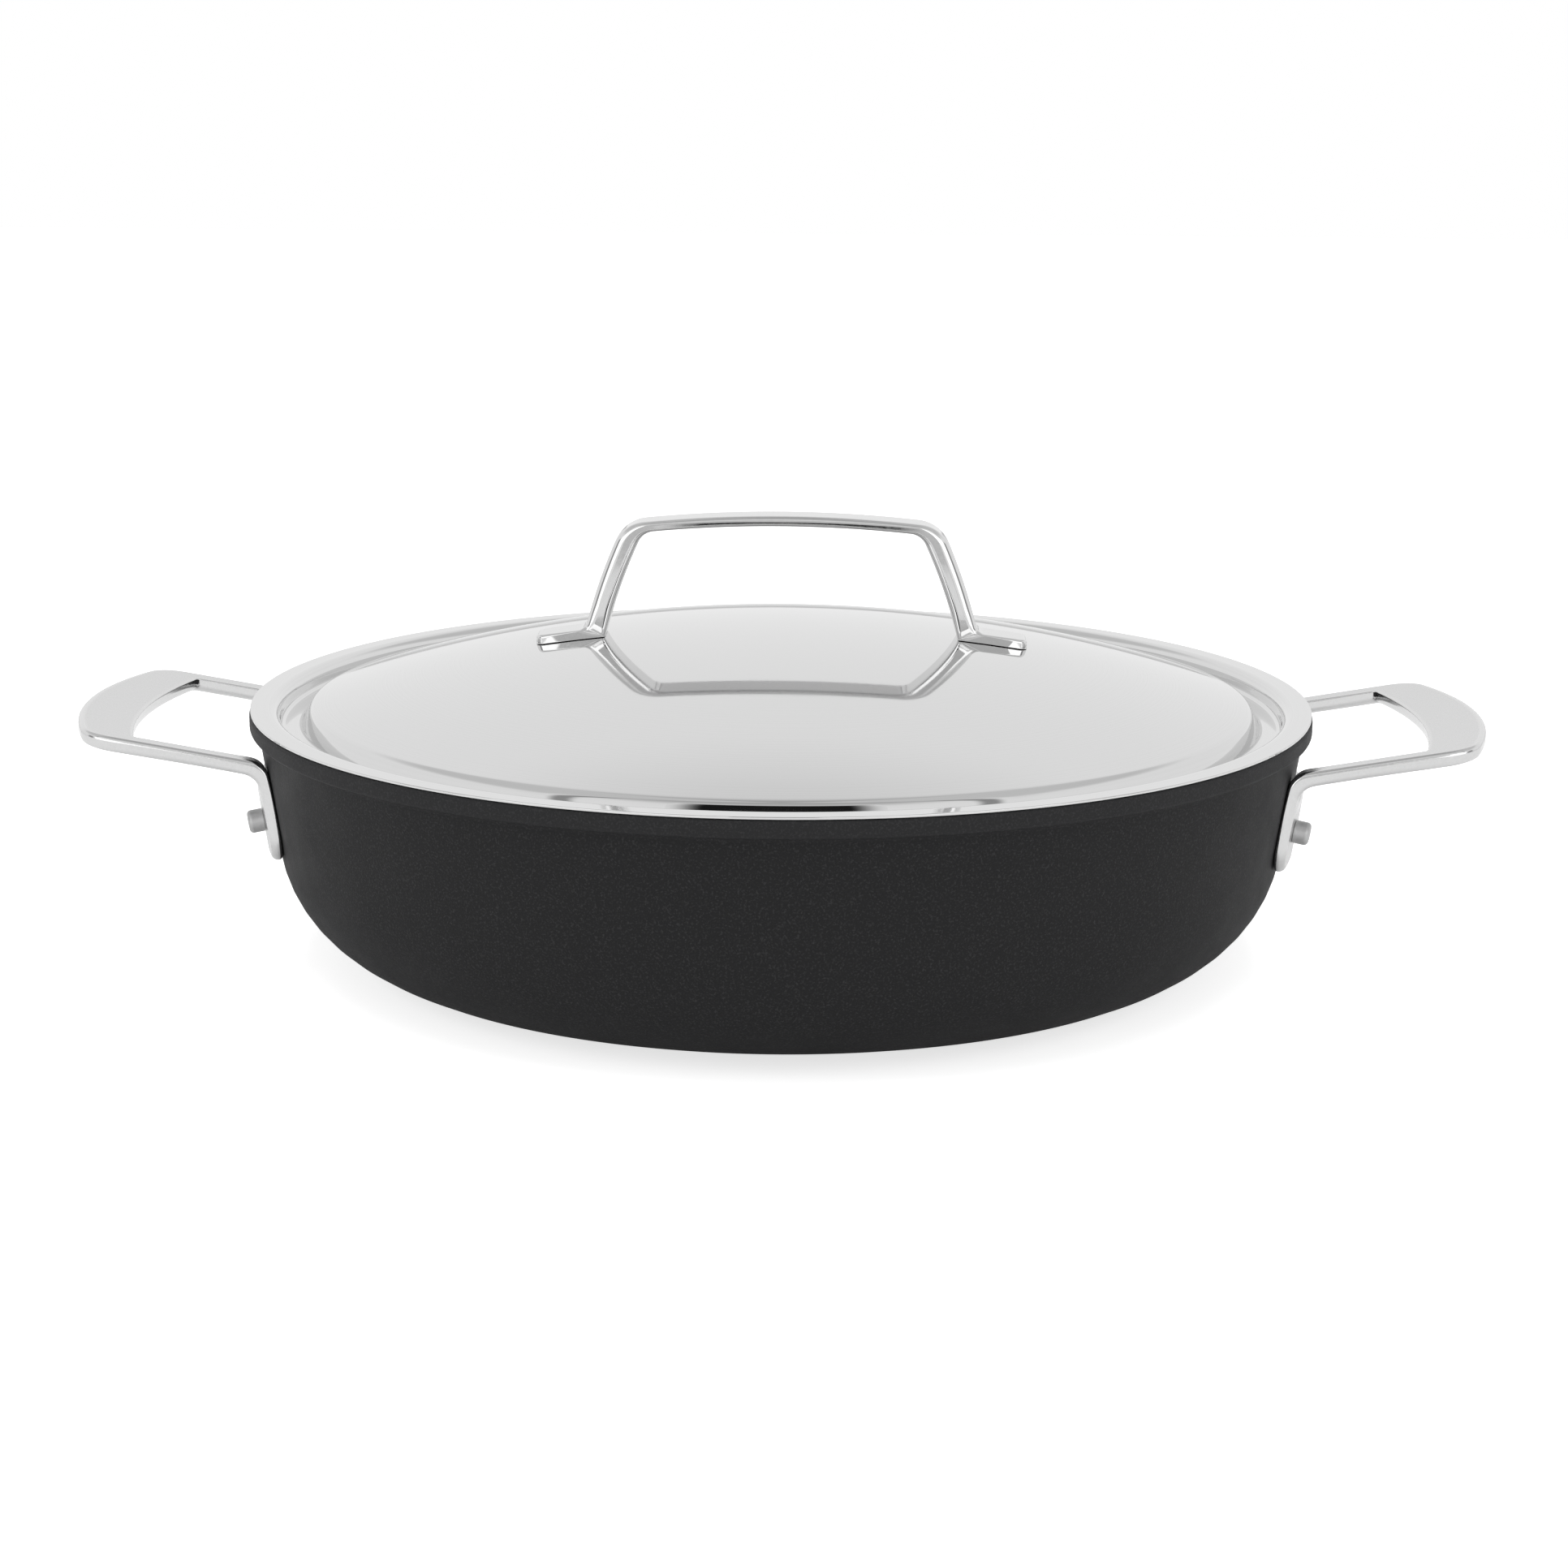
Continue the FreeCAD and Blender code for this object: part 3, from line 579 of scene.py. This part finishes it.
# %% Walk round the finger gap
TIP, HALF_WIDTH = handle_high.x, handle_high.y
TIP_RADIUS, TIP_CORNER = 0.118, 0.010
GRIP_DEPTH, GAP_HALF_WIDTH, GAP_RADIUS, GAP_CORNER = 0.016, 0.0405, 0.16, 0.0015
BRACKET_CORNER, SILL_CORNER = 0.007, 0.0005
SILL_DROP = 0.0004
SILL = under.arc[-1].y - SILL_DROP
TIP_STEPS, TURN_STEPS, ARM_STEPS, SIDE_STEPS, FOOT_TURN_STEPS, SILL_STEPS = 16, 14, 10, 8, 10, 16


def shares(steps, first=0):
    return [step / steps for step in range(first, steps + 1)]


def between(start, end, share):
    return tuple(a + (b - a) * share for a, b in zip(start, end))


def plan_corner(centre, radius, corner, half_width):
    """Where a plan's arc about a centre turns into its straight side: corner's centre and first angle."""
    along = half_width - corner
    across = centre + math.sqrt((radius - corner)**2 - along**2)
    return across, along, math.asin(along / (radius - corner))


def plan_point(centre, along, radius, angle):
    return centre + radius * math.cos(angle), along + radius * math.sin(angle)


def half_ring():
    """Stations from the middle of the grip, round one arm and down to the middle of the bracket's foot."""
    tip_centre, gap_centre = TIP - TIP_RADIUS, TIP - GRIP_DEPTH - GAP_RADIUS
    tip_corner = plan_corner(tip_centre, TIP_RADIUS, TIP_CORNER, HALF_WIDTH)
    gap_corner = plan_corner(gap_centre, GAP_RADIUS, GAP_CORNER, GAP_HALF_WIDTH)
    stations = []
    for share in shares(TIP_STEPS):
        outer = plan_point(tip_centre, 0, TIP_RADIUS, tip_corner[2] * share)
        gap = plan_point(gap_centre, 0, GAP_RADIUS, gap_corner[2] * share)
        stations.append((on_loop, {face: (outer, gap) for face in (upper, under)}))
    for share in shares(TURN_STEPS, 1):
        ends = []
        for (across, along, angle), corner in ((tip_corner, TIP_CORNER), (gap_corner, GAP_CORNER)):
            ends.append(plan_point(across, along, corner, angle + (math.pi / 2 - angle) * share))
        stations.append((on_loop, {face: tuple(ends) for face in (upper, under)}))
    for share in shares(ARM_STEPS, 1)[:-1]:
        runs = {}
        for face in (upper, under):
            starts = [(tip_corner[0], HALF_WIDTH), (gap_corner[0], GAP_HALF_WIDTH)]
            stops = [(math.sqrt(face.arc[0].x**2 - along**2), along) for _, along in starts]
            runs[face] = tuple(between(start, stop, share) for start, stop in zip(starts, stops))
        stations.append((on_loop, runs))
    for step in range(BEND_STEPS + 1):
        ends = ((HALF_WIDTH,), (GAP_HALF_WIDTH,))
        stations.append((on_bend(step), {face: ends for face in (upper, under)}))
    for share in shares(SIDE_STEPS, 1):
        runs = {}
        for face in (upper, under):
            outer = between((HALF_WIDTH, face.arc[-1].y), (HALF_WIDTH, BRACKET_FOOT + BRACKET_CORNER), share)
            gap = between((GAP_HALF_WIDTH, face.arc[-1].y), (GAP_HALF_WIDTH, SILL + SILL_CORNER), share)
            runs[face] = (outer, gap)
        stations.append((on_bracket, runs))
    for share in shares(FOOT_TURN_STEPS, 1):
        angle = -math.pi / 2 * share
        outer = plan_point(HALF_WIDTH - BRACKET_CORNER, BRACKET_FOOT + BRACKET_CORNER, BRACKET_CORNER, angle)
        gap = plan_point(GAP_HALF_WIDTH - SILL_CORNER, SILL + SILL_CORNER, SILL_CORNER, angle)
        stations.append((on_bracket, {face: (outer, gap) for face in (upper, under)}))
    for share in shares(SILL_STEPS, 1):
        outer = ((HALF_WIDTH - BRACKET_CORNER) * (1 - share), BRACKET_FOOT)
        gap = ((GAP_HALF_WIDTH - SILL_CORNER) * (1 - share), SILL)
        stations.append((on_bracket, {face: (outer, gap) for face in (upper, under)}))
    return stations


half = half_ring()
print("one half of a loop has", len(half), "stations")

# %% Set a section at each station and skin the ring
UPPER_ROUND, UNDER_ROUND, GAP_ROUND, GAP_UNDER_ROUND = 0.0012, 0.002, 0.00035, 0.0022
FACE_SHARES = (0.06, 0.3, 0.5, 0.7, 0.94)
WALL_SHARES = (0.2, 0.8)
INWARD_SHARE = 0.3


def section(station):
    """Points round the strip at a station, each with its polish: 1 on an edge and 0 on a face."""
    surface, runs = station

    def spot(face, share):
        return surface(face, *between(*runs[face], share))

    corners = [(upper, 0, UPPER_ROUND, 5), (upper, 1, GAP_ROUND, 4),
               (under, 1, GAP_UNDER_ROUND, 7), (under, 0, UNDER_ROUND, 8)]
    arcs = []
    for place, (face, end, radius, steps) in enumerate(corners):
        along = spot(face, INWARD_SHARE if end == 0 else 1 - INWARD_SHARE)
        across = spot(under if face is upper else upper, end)
        ways = (across, along) if place in (0, 2) else (along, across)
        arcs.append(arc_at(ways[0], spot(face, end), ways[1], radius, steps))
    points = []
    for place, arc in enumerate(arcs):
        points += [(point, 1) for point in arc]
        following = arcs[(place + 1) % 4]
        if place in (1, 3):
            points += [(arc[-1].lerp(following[0], share), 1) for share in WALL_SHARES]
            continue
        face = corners[place][0]
        width = (spot(face, 1) - spot(face, 0)).length
        first, last = [abs(end - (point - spot(face, end)).length / width)
                       for end, point in ((place // 2, arc[-1]), (1 - place // 2, following[0]))]
        points += [(spot(face, first + (last - first) * share), 0) for share in FACE_SHARES]
    return points


def loop_mesh(name, half_turn):
    """The whole ring as a mesh, turned about the pan's axis to its own side."""
    rings = [section(station) for station in half]
    rings += [[(Vector((point.x, -point.y, point.z)), polish) for point, polish in ring]
              for ring in rings[-2:0:-1]]
    turn = Matrix.Rotation(half_turn * math.pi, 3, "Z")
    count = len(rings[0])
    points = [turn @ point for ring in rings for point, _ in ring]
    faces = []
    for ring in range(len(rings)):
        after = (ring + 1) % len(rings)
        for spot in range(count):
            beside = (spot + 1) % count
            faces.append((ring * count + spot, ring * count + beside,
                          after * count + beside, after * count + spot))
    mesh = bpy.data.meshes.new(name)
    mesh.from_pydata(points, [], faces)
    mesh.shade_smooth()
    mesh.attributes.new("polish", "FLOAT", "POINT").data.foreach_set(
        "value", [polish for ring in rings for _, polish in ring])
    mesh.materials.append(satin_steel)
    return mesh


for side, half_turn in (("right", 0), ("left", 1)):
    loop = bpy.data.objects.new(f"{side}_loop", loop_mesh(f"{side}_loop", half_turn))
    bpy.context.scene.collection.objects.link(loop)
    finished(loop, "pan", "satin_steel", f"{side}_handle")

# %% [markdown]
# ## The bow on the lid
#
# The lid is lifted by a bow: a polished strap that rises from two welded feet, leans in along two slightly
# curved legs and arches gently over the top. From the side it is two lines, an outer and an inner one,
# that run from foot to foot. Each line is a chain of arcs: the foot lies on the dome, the leg
# and the crown are arcs of their own, and a rounding joins each pair. Where a rounding touches two
# circles, its centre is a fixed distance from both of theirs, so it is where two larger or smaller
# circles cross.

# %% Draw the bow from the side
bow_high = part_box("lid_handle")[1]
CROWN, LEG_ARC = 0.362, 0.15
GRIP, LEG, SOLE, FOOT_THICK = 0.0028, 0.0055, 0.0001, 0.0026
BOW_HALF, STANCE, FOOT_END = 0.0433, 0.0538, bow_high.x
BOW_CORNER, INNER_CORNER, HEEL, HEEL_UNDER = 0.010, 0.0052, 0.003, 0.0004
FOOT_STEPS, HEEL_STEPS, LEG_STEPS, CORNER_STEPS, GRIP_STEPS = 10, 8, 16, 14, 18


def on_circle(centre, radius, spot):
    """Point of a circle in the direction of a spot."""
    return centre + (spot - centre).normalized() * radius


def arc_run(centre, start, end, steps):
    """Points along an arc about a centre, without its first one."""
    begin, stop = start - centre, end - centre
    turn = begin.angle(stop)
    return [centre + (begin * math.sin((1 - share) * turn) + stop * math.sin(share * turn)) / math.sin(turn)
            for share in shares(steps, 1)]


def side_line(lift, stance, length, depth, heel, corner):
    """One line of the bow from a foot's end to the middle of the grip."""
    dome, crown = Vector((0, lid_high.z - DOME_RADIUS)), Vector((0, bow_high.z - CROWN))
    dome_size, crown_size = DOME_RADIUS + lift, CROWN - depth
    foot = Vector((stance, dome_at(stance, lift)))
    top = Vector((length, crown.y + math.sqrt(crown_size**2 - length**2)))
    chord = top - foot
    sag = math.sqrt(LEG_ARC**2 - chord.length_squared / 4)
    leg = (foot + top) / 2 + Vector((-chord.y, chord.x)).normalized() * sag
    heel_at = min(intersect_sphere_sphere_2d(leg, LEG_ARC + heel, dome, dome_size + heel),
                  key=lambda spot: (spot - foot).length)
    corner_at = min(intersect_sphere_sphere_2d(leg, LEG_ARC - corner, crown, crown_size - corner),
                    key=lambda spot: (spot - top).length)
    stops = [on_circle(dome, dome_size, heel_at), on_circle(leg, LEG_ARC, heel_at),
             on_circle(leg, LEG_ARC, corner_at), on_circle(crown, crown_size, corner_at)]
    line = [Vector((FOOT_END, dome_at(FOOT_END, lift)))]
    line += arc_run(dome, line[0], stops[0], FOOT_STEPS) + arc_run(heel_at, stops[0], stops[1], HEEL_STEPS)
    line += arc_run(leg, stops[1], stops[2], LEG_STEPS) + arc_run(corner_at, stops[2], stops[3], CORNER_STEPS)
    return line + arc_run(crown, stops[3], crown + Vector((0, crown_size)), GRIP_STEPS)


outer_line = side_line(FOOT_THICK, STANCE, BOW_HALF, 0, HEEL, BOW_CORNER)
inner_line = side_line(SOLE, STANCE - LEG, BOW_HALF - LEG, GRIP, HEEL_UNDER, INNER_CORNER)
print("half of the bow has", len(outer_line), "steps")

# %% Skin the bow
STRAP_HALF, FOOT_EDGE, SOLE_EDGE, TOE = bow_high.y, 0.0009, 0.0002, 0.0028
LEG_EDGES, GRIP_EDGES = (0.0026, 0.0019), (0.0016, 0.0009)
TOE_STEPS, EDGE_STEPS, LEG_EASE = 6, 8, 4
STRAP_SHARES = (0.06, 0.35, 0.65, 0.94)
CREASE = 0.0003


def strap_section(outer, inner, half_width, outer_edge, inner_edge):
    """Points round the strap between a point of its outer line and one of its inner line."""
    corners = [Vector((spot.x, side * half_width, spot.y))
               for spot, side in ((outer, -1), (outer, 1), (inner, 1), (inner, -1))]
    arcs = [arc_at(corners[place - 1], corner, corners[(place + 1) % 4],
                   outer_edge if place < 2 else inner_edge, EDGE_STEPS)
            for place, corner in enumerate(corners)]
    points = []
    for arc, after in zip(arcs, arcs[1:] + arcs[:1]):
        points += arc + [arc[-1].lerp(after[0], share) for share in STRAP_SHARES]
    return points


steps = []
for share in shares(TOE_STEPS)[:-1]:
    angle = math.pi / 2 * (1 - share)
    across = FOOT_END - TOE + TOE * math.sin(angle)
    past = max(0, across - FOOT_END + FOOT_EDGE)
    drop = FOOT_EDGE - math.sqrt(max(0, FOOT_EDGE**2 - past**2))
    outer, inner = (Vector((across, height)) for height in
                    (dome_at(across, FOOT_THICK) - drop, dome_at(across, SOLE)))
    steps.append((outer, inner, STRAP_HALF - TOE + TOE * math.cos(angle), FOOT_EDGE, SOLE_EDGE))
for place, (outer, inner) in enumerate(zip(outer_line, inner_line)):
    if outer.x > FOOT_END - TOE:
        continue
    # the roundings grow from the heel up the leg and shrink again round the corner to the thinner grip,
    # and a crease crosses the heel where the strap was bent
    up_leg = min(1, max(0, (place - FOOT_STEPS) / (HEEL_STEPS + LEG_EASE)))
    to_grip = min(1, max(0, (place - FOOT_STEPS - HEEL_STEPS - LEG_STEPS) / CORNER_STEPS))
    bend = max(0, 1 - abs(place - FOOT_STEPS - HEEL_STEPS / 2) / (HEEL_STEPS / 2))
    edges = between(between((FOOT_EDGE, SOLE_EDGE), LEG_EDGES, up_leg), GRIP_EDGES, to_grip)
    steps.append((outer, inner, STRAP_HALF - CREASE * bend, *edges))
rings = [strap_section(*step) for step in steps]
rings += [[Vector((-point.x, point.y, point.z)) for point in ring] for ring in rings[-2::-1]]
count = len(rings[0])
faces = [(ring * count + spot, ring * count + (spot + 1) % count,
          (ring + 1) * count + (spot + 1) % count, (ring + 1) * count + spot)
         for ring in range(len(rings) - 1) for spot in range(count)]
caps = [tuple(range(count)), tuple(range((len(rings) - 1) * count, len(rings) * count))]
mesh = bpy.data.meshes.new("bow")
mesh.from_pydata([point for ring in rings for point in ring], [], faces + caps)
mesh.shade_smooth()
mesh.materials.append(polished_bow)
bow = bpy.data.objects.new("bow", mesh)
bpy.context.scene.collection.objects.link(bow)
finished(bow, "lid", "polished_steel", "lid_handle")

# %% [markdown]
# ## The studio
#
# The photograph is a plain product shot: white all round, soft light from above and both sides, and a
# faint shadow where the pan stands. The floor is a pale diffuse table that also glows a little, so it
# reads as white, throws light up under the pan and still takes the shadow. It ends a little way in
# front of the pan, as a table does.
#
# What makes polished steel look like steel is what it mirrors. The world is white to look at, but in
# reflections it is a room: pale walls that dull towards the ceiling, a bright softbox on each side of
# the camera, and darker gaps where nothing is lit. Each is a patch laid over the one before, by how far
# ahead and how high a direction points.
#
# A photographer also hangs a small dark card near a polished edge to draw it. One hangs in front of the
# lid, seen by mirrors alone and fading at its sides and top, and it makes the black band at the front
# of the dome and the fine dark line along the bow.

# %% Lay the floor
FLOOR_HALF, TABLE_FRONT = 4, -0.68
FLOOR_PALE, FLOOR_LIGHT, FLOOR_MIRRORED, FLOOR_SHOWN = 0.8, 0.3, 0.1, 0.72
floor_mesh = bpy.data.meshes.new("floor")
floor_mesh.from_pydata([(-FLOOR_HALF, TABLE_FRONT, 0), (FLOOR_HALF, TABLE_FRONT, 0),
                        (FLOOR_HALF, FLOOR_HALF, 0), (-FLOOR_HALF, FLOOR_HALF, 0)], [], [(0, 1, 2, 3)])
floor = bpy.data.objects.new("floor", floor_mesh)
bpy.context.scene.collection.objects.link(floor)


def by_ray(tree, light, mirrored, shown):
    """Pick a value by how a ray came here: as light, by a mirror, or straight from the camera or glass."""
    path = add(tree, "ShaderNodeLightPath").outputs
    straight = math_node(tree, "MAXIMUM", path["Is Camera Ray"], path["Is Transmission Ray"])
    lit = add(tree, "ShaderNodeMix", {0: straight, 2: light, 3: shown}).outputs[0]
    return add(tree, "ShaderNodeMix", {0: path["Is Glossy Ray"], 2: lit, 3: mirrored}).outputs[0]


pale = bpy.data.materials.new("pale_floor")
pale.use_nodes = True
tree = pale.node_tree
tree.nodes.clear()
matte = add(tree, "ShaderNodeBsdfDiffuse", {"Color": grey(FLOOR_PALE)})
strength = by_ray(tree, FLOOR_LIGHT, FLOOR_MIRRORED, FLOOR_SHOWN)
glow = add(tree, "ShaderNodeEmission", {"Color": grey(1), "Strength": strength})
both = add(tree, "ShaderNodeAddShader", {0: matte.outputs[0], 1: glow.outputs[0]})
tree.links.new(both.outputs[0], tree.nodes.new("ShaderNodeOutputMaterial").inputs[0])
floor_mesh.materials.append(pale)

# %% Surround it with a room
WALLS, SIDES, CEILING, SOFTBOX, GAP, FRONT_LOW = 0.92, 0.66, 0.46, 1.7, 0.32, 0.62
DULL_FROM, DULL_TO, ROOM_LIGHT = 0.58, 1.02, 0.5


def blend(tree, share, low, high):
    """Output between two values, eased by a share from 0 to 1."""
    return add(tree, "ShaderNodeMapRange", {"Value": share, "To Min": low, "To Max": high},
               interpolation_type="SMOOTHSTEP").outputs["Result"]


world = bpy.data.worlds.new("studio")
bpy.context.scene.world = world
world.use_nodes = True
tree = world.node_tree
way = add(tree, "ShaderNodeSeparateXYZ", {0: add(tree, "ShaderNodeTexCoord").outputs["Generated"]}).outputs
level = math_node(tree, "SQRT", math_node(tree, "SUBTRACT", 1, math_node(tree, "POWER", way["Z"], 2)))
ahead = math_node(tree, "DIVIDE", math_node(tree, "MULTIPLY", way["Y"], -1), level)


def within(value, low, high, ease):
    """Share that is 1 from low to high and eases to 0 outside."""
    rise = blend(tree, ranged(tree, value, low - ease, low, 0, 1), 0, 1)
    fall = blend(tree, ranged(tree, value, high, high + ease, 0, 1), 1, 0)
    return math_node(tree, "MULTIPLY", rise, fall)


def patch(below, across, up, above):
    """Lay a patch over the room: its ranges ahead and up, each with its ease, and its brightness."""
    share = math_node(tree, "MULTIPLY", within(ahead, *across), within(way["Z"], *up))
    return add(tree, "ShaderNodeMix", {0: share, 2: below, 3: above}).outputs[0]


mirrored = blend(tree, ranged(tree, way["Z"], DULL_FROM, DULL_TO, 0, 1), WALLS, CEILING)
mirrored = patch(mirrored, (-0.8, 0.4, 0.14), (0.68, 2, 0.2), SIDES)
mirrored = patch(mirrored, (0.1, 0.36, 0.08), (-2, 0.3, 0.1), GAP)
mirrored = patch(mirrored, (0.5, 0.985, 0.006), (0.02, 0.4, 0.05), SOFTBOX)
mirrored = patch(mirrored, (0.55, 0.58, 0.05), (0.45, 0.8, 0.12), GAP)
mirrored = patch(mirrored, (0.989, 2, 0.003), (-2, 0.5, 0.1), FRONT_LOW)
tree.links.new(by_ray(tree, ROOM_LIGHT, mirrored, 1), tree.nodes["Background"].inputs["Strength"])
tree.nodes["Background"].inputs["Color"].default_value = grey(1)
print("room has", len(tree.nodes), "nodes")

# %% Hang a dark card in front
CARD_HALF, CARD_LOW, CARD_HIGH, CARD_MIDDLE, CARD_PLACE = 0.047, 0.0936, 0.13, 0.002, -0.165
CARD_DARK, CARD_EDGE, DARK_HALF, DARK_HIGH = 0.012, 0.85, 0.03, 0.115

card_mesh = bpy.data.meshes.new("dark_card")
left, right = CARD_MIDDLE - CARD_HALF, CARD_MIDDLE + CARD_HALF
card_mesh.from_pydata([(left, CARD_PLACE, CARD_LOW), (right, CARD_PLACE, CARD_LOW),
                       (right, CARD_PLACE, CARD_HIGH), (left, CARD_PLACE, CARD_HIGH)], [], [(0, 1, 2, 3)])
paint = bpy.data.materials.new("dark_card")
paint.use_nodes = True
tree = paint.node_tree
tree.nodes.clear()
position = add(tree, "ShaderNodeNewGeometry").outputs["Position"]
spot = add(tree, "ShaderNodeSeparateXYZ", {0: position}).outputs
aside = math_node(tree, "ABSOLUTE", math_node(tree, "SUBTRACT", spot["X"], CARD_MIDDLE))
to_side = blend(tree, ranged(tree, aside, DARK_HALF, CARD_HALF, 0, 1), CARD_DARK, CARD_EDGE)
to_top = blend(tree, ranged(tree, spot["Z"], DARK_HIGH, CARD_HIGH, 0, 1), CARD_DARK, CARD_EDGE)
strength = math_node(tree, "MAXIMUM", to_side, to_top)
glow = add(tree, "ShaderNodeEmission", {"Color": grey(1), "Strength": strength})
tree.links.new(glow.outputs[0], add(tree, "ShaderNodeOutputMaterial").inputs[0])
card_mesh.materials.append(paint)
card = bpy.data.objects.new("dark_card", card_mesh)
card.visible_camera = card.visible_diffuse = card.visible_shadow = False
card.visible_transmission = card.visible_volume_scatter = False
bpy.context.scene.collection.objects.link(card)
print("card", CARD_HALF * 2, "wide and", CARD_HIGH - CARD_LOW, "high")

# %% Light the studio
AIM = (0, 0, 0.05)


def lamp(name, place, size, power):
    """A soft square lamp that faces the pan and stays out of the mirrors."""
    light = bpy.data.lights.new(name, "AREA")
    light.shape, light.size, light.energy = "SQUARE", size, power
    holder = bpy.data.objects.new(name, light)
    holder.location = place
    holder.rotation_euler = (Vector(AIM) - Vector(place)).to_track_quat("-Z", "Y").to_euler()
    holder.visible_glossy = False
    bpy.context.scene.collection.objects.link(holder)


lamp("overhead", (0, 0.1, 1.6), 1.4, 14)
lamp("left", (-1.5, -0.5, 0.9), 0.9, 6)
lamp("right", (1.5, -0.5, 0.9), 0.9, 5.5)
print("lamps", [each.name for each in bpy.data.lights])

# %% [markdown]
# ## The camera
#
# The view is a long lens from the front, a little above the rim. Its place was found by matching known
# points of the pan with where they appear in the photograph, so it is written down as found.

# %% Place the camera
CAMERA_PLACE = (0.01746, -0.83233, 0.23589)
AZIMUTH, PITCH, ROLL = (math.radians(angle) for angle in (1.137, 12.967, 0.394))
LENS = 70.35
SENSOR = 36

view = bpy.data.cameras.new("camera")
view.lens, view.sensor_width = LENS, SENSOR
camera = bpy.data.objects.new("camera", view)
camera.matrix_world = (Matrix.Translation(CAMERA_PLACE) @ Matrix.Rotation(AZIMUTH, 4, "Z")
                       @ Matrix.Rotation(math.pi / 2 - PITCH, 4, "X") @ Matrix.Rotation(ROLL, 4, "Z"))
bpy.context.scene.collection.objects.link(camera)
bpy.context.scene.camera = camera
bpy.context.scene.view_settings.view_transform = "Standard"
print("camera at", CAMERA_PLACE)
